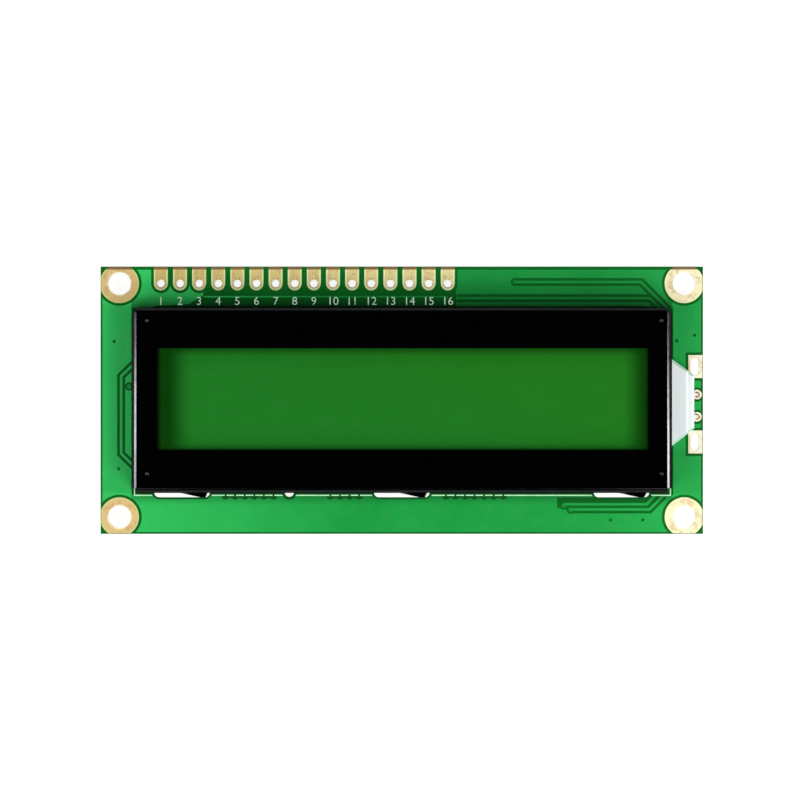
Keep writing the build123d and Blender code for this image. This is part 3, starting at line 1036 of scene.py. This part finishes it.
def silk_lines():
    """The printed outline round the bezel, broken where holes and vias cross it."""
    y = via_row_y + outline_lift
    half = silk_width / 2
    left = bezel_low.x + outline_left
    right = bezel_high.x + outline_right
    strips = [rectangle(left, y - half, right, y + half)]
    for x in (left + half, right - half):
        strips.append(rectangle(x - half, y + half + outline_joint, x + half, y + outline_rise))
    breaks = []
    beside, above = via_break
    for x, via_y in row_vias():
        breaks.append(rectangle(x - beside, via_y - above, x + beside, via_y + above))
    reach = slot_length / 2 + slot_rim
    for x in tab_xs:
        breaks.append(rectangle(x - reach, y - slot_break, x + reach, y + slot_break))
    hole_x, hole_y, radius = locating_hole
    breaks.append(round_outline(hole_x, hole_y, radius + copper_gap))
    top = board_front + copper_height + silk_height
    place(cut_sheet("silk_outline", strips, breaks, board_front, top), outline_finish)


def pin_numbers():
    """Plain numbers from 1 to 16 printed under the header pads."""
    for number, x in enumerate(header_xs, start=1):
        name = f"number_{number:02d}"
        text = bpy.data.curves.new(name, "FONT")
        text.body = str(number)
        text.size = number_height * MM
        text.align_x = "CENTER"
        text.extrude = silk_height * MM
        text.offset = number_thinning * MM
        text.resolution_u = number_curve_steps
        label = bpy.data.objects.new(name, text)
        label.location = (x * MM, number_y * MM, (board_front + copper_height) * MM)
        bpy.context.scene.collection.objects.link(label)
        bpy.context.view_layer.update()
        data = evaluated_mesh(label)
        data.transform(label.matrix_world)
        bpy.data.objects.remove(label)
        piece = bpy.data.objects.new(name, data)
        bpy.context.scene.collection.objects.link(piece)
        place(piece, silk_finish)


def chip_rings():
    """A printed ring round each drop of epoxy on the rear face."""
    top = board_rear - copper_height
    outers = []
    inners = []
    for name in blob_names:
        centre = node_centre(name)
        radius = node_box(name)[1].x - centre.x + blob_ring_gap
        outers.append(round_outline(centre.x, centre.y, radius, blob_ring_steps))
        inners.append(round_outline(centre.x, centre.y, radius - blob_ring_width, blob_ring_steps))
    place(cut_sheet("silk_rings", outers, inners, top - silk_height, top), silk_finish)


def dimple_bowls():
    """The rounded floor of each dimple in the bezel's face."""
    face = bezel_high.z
    profile = [
        (0.0, face - dimple_bottom),
        (dimple_foot, face - dimple_bottom),
        (dimple_rim, face - dimple_top),
    ]
    for step in range(dimple_steps + 1):
        share = 1 - step / dimple_steps
        depth = dimple_depth * (1 - share ** 2)
        profile.append((dimple_radius * share, face - dimple_top - depth))
    mesh = bmesh.new()
    for x in dimple_xs:
        for y in dimple_ys:
            lathe(mesh, x, y, profile)
    place(piece_from(mesh, "dimple_bowls"), paint_finish)


def epoxy_drop(node, name, seed):
    """A smooth drop of epoxy with a slightly uneven rim, in place of the banded solid."""
    low, high = node_box(node)
    centre = node_centre(node)
    radius = (high.x - low.x) / 2
    height = high.z - low.z
    mesh = bmesh.new()
    top = mesh.verts.new((centre.x, centre.y, -height))
    rows = []
    for ring in range(1, drop_rings + 1):
        lean = quarter_turn * ring / drop_rings
        depth = -height * max(math.cos(lean), 0.0)
        row = []
        for step in range(drop_steps):
            turn = full_turn * step / drop_steps
            across = math.cos(turn)
            up = math.sin(turn)
            sway = noise.noise(Vector((across * drop_wave, up * drop_wave, seed)))
            uneven = drop_reach + drop_sway * sway * ring / drop_rings
            reach = radius * math.sin(lean) * uneven
            row.append(mesh.verts.new((centre.x + reach * across, centre.y + reach * up, depth)))
        rows.append(row)
    for step in range(drop_steps):
        after = (step + 1) % drop_steps
        mesh.faces.new((top, rows[0][step], rows[0][after]))
        for inner, outer in zip(rows, rows[1:]):
            mesh.faces.new((inner[step], outer[step], outer[after], inner[after]))
    mesh.faces.new(rows[-1])
    for face in mesh.faces:
        face.smooth = len(face.verts) <= most_smooth_corners
    piece = piece_from(mesh, name)
    piece.data.materials.append(epoxy_finish)
    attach(piece, "root")
    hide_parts(node)


def solder_joints():
    """Solder round the two backlight leads, in a cone behind the board and a dish in front, the dish
    coloured dark as painted shade in the hole.
    """
    for name, lead in zip(pin_names, lead_names):
        centre = node_centre(name)
        side = name.split("_")[-1]
        base = board_rear - cone_sink
        tip = node_box(lead)[0].z + cone_reach
        cone = [(0.0, base)]
        for step in range(cone_steps + 1):
            turn = quarter_turn * step / cone_steps
            rise = (tip - base) * (1 - math.cos(turn))
            cone.append((cone_radius - cone_taper * math.sin(turn), base + rise))
        cone.append((0.0, tip))
        mesh = bmesh.new()
        lathe(mesh, centre.x, centre.y, cone)
        place(piece_from(mesh, "rear_solder_" + side), metal_finish)
        top = board_front + dish_lift
        mesh = bmesh.new()
        lathe(mesh, centre.x, centre.y, [(radius, top + z) for radius, z in dish_profile])
        # The dish is dark: painted shade in the hole
        place(piece_from(mesh, "front_solder_" + side), hole_shade_finish)


def make_floor():
    """A pale floor at the module's lowest point, which is seen as white."""
    level = cad_box[0][2]
    mesh = bmesh.new()
    outline = rectangle(-floor_half, -floor_half, floor_half, floor_half)
    mesh.faces.new([mesh.verts.new((x, y, level)) for x, y in outline])
    floor = piece_from(mesh, "floor", scale=1.0)
    shader = Shader("floor")
    shader.finish(shader.mix(shader.noise(900.0), rgb(150, 150, 150), rgb(156, 156, 156)), 0.9)
    rays = shader.add("ShaderNodeLightPath").outputs
    seen = shader.plus(rays["Is Camera Ray"], rays["Is Glossy Ray"], clamp=True)
    seen = shader.plus(seen, rays["Is Transmission Ray"], clamp=True)
    shader.surface.inputs["Emission Color"].default_value = (1, 1, 1, 1)
    shader.feed(shader.surface.inputs["Emission Strength"], shader.times(seen, floor_glow))
    floor.data.materials.append(shader.material)


def make_lamps():
    """Two strips that light the bezel's side folds, and two broad lamps at the lower left and right."""
    for name, azimuth, elevation, width, height, radiance in lamps:
        light = bpy.data.lights.new(name, "AREA")
        light.shape = "RECTANGLE"
        light.size = width
        light.size_y = height
        light.energy = radiance * math.pi * width * height
        lamp = bpy.data.objects.new(name, light)
        turn = math.radians(azimuth)
        rise = math.radians(elevation)
        flat = math.cos(rise)
        away = Vector((math.cos(turn) * flat, math.sin(turn) * flat, math.sin(rise)))
        lamp.location = away * lamp_distance
        lamp.rotation_euler = away.to_track_quat("Z", "Y").to_euler()
        lamp.visible_camera = False
        bpy.context.scene.collection.objects.link(lamp)


def make_sky():
    """A dim sky that is darkest overhead."""
    world = bpy.data.worlds.new("sky")
    world.use_nodes = True
    bpy.context.scene.world = world
    tree = world.node_tree
    direction = tree.nodes.new("ShaderNodeTexCoord")
    split = tree.nodes.new("ShaderNodeSeparateXYZ")
    fade = tree.nodes.new("ShaderNodeMapRange")
    tree.links.new(direction.outputs["Generated"], split.inputs[0])
    tree.links.new(split.outputs["Z"], fade.inputs["Value"])
    fade.interpolation_type = "SMOOTHSTEP"
    for socket, value in sky_fade.items():
        fade.inputs[socket].default_value = value
    tree.links.new(fade.outputs[0], tree.nodes["Background"].inputs["Strength"])
    tree.nodes["Background"].inputs["Color"].default_value = (1, 1, 1, 1)


def make_camera():
    """A camera straight above the display, far away as in the photograph."""
    lens = bpy.data.cameras.new("camera")
    lens.sensor_width = camera_sensor
    lens.lens = camera_sensor * (camera_distance - board_front * MM) / (camera_width * MM)
    lens.clip_end = camera_clip
    eye = bpy.data.objects.new("camera", lens)
    x, y = camera_place
    eye.location = (x * MM, y * MM, camera_distance)
    bpy.context.scene.collection.objects.link(eye)
    bpy.context.scene.camera = eye


dress_nodes()
circuit_front()
circuit_rear()
silk_lines()
pin_numbers()
chip_rings()
dimple_bowls()
epoxy_drop("controller_blob", "controller_epoxy", 1.0)
epoxy_drop("driver_blob", "driver_epoxy", 5.0)
solder_joints()
make_floor()
make_lamps()
make_sky()
make_camera()
bpy.context.scene.view_settings.view_transform = "Standard"
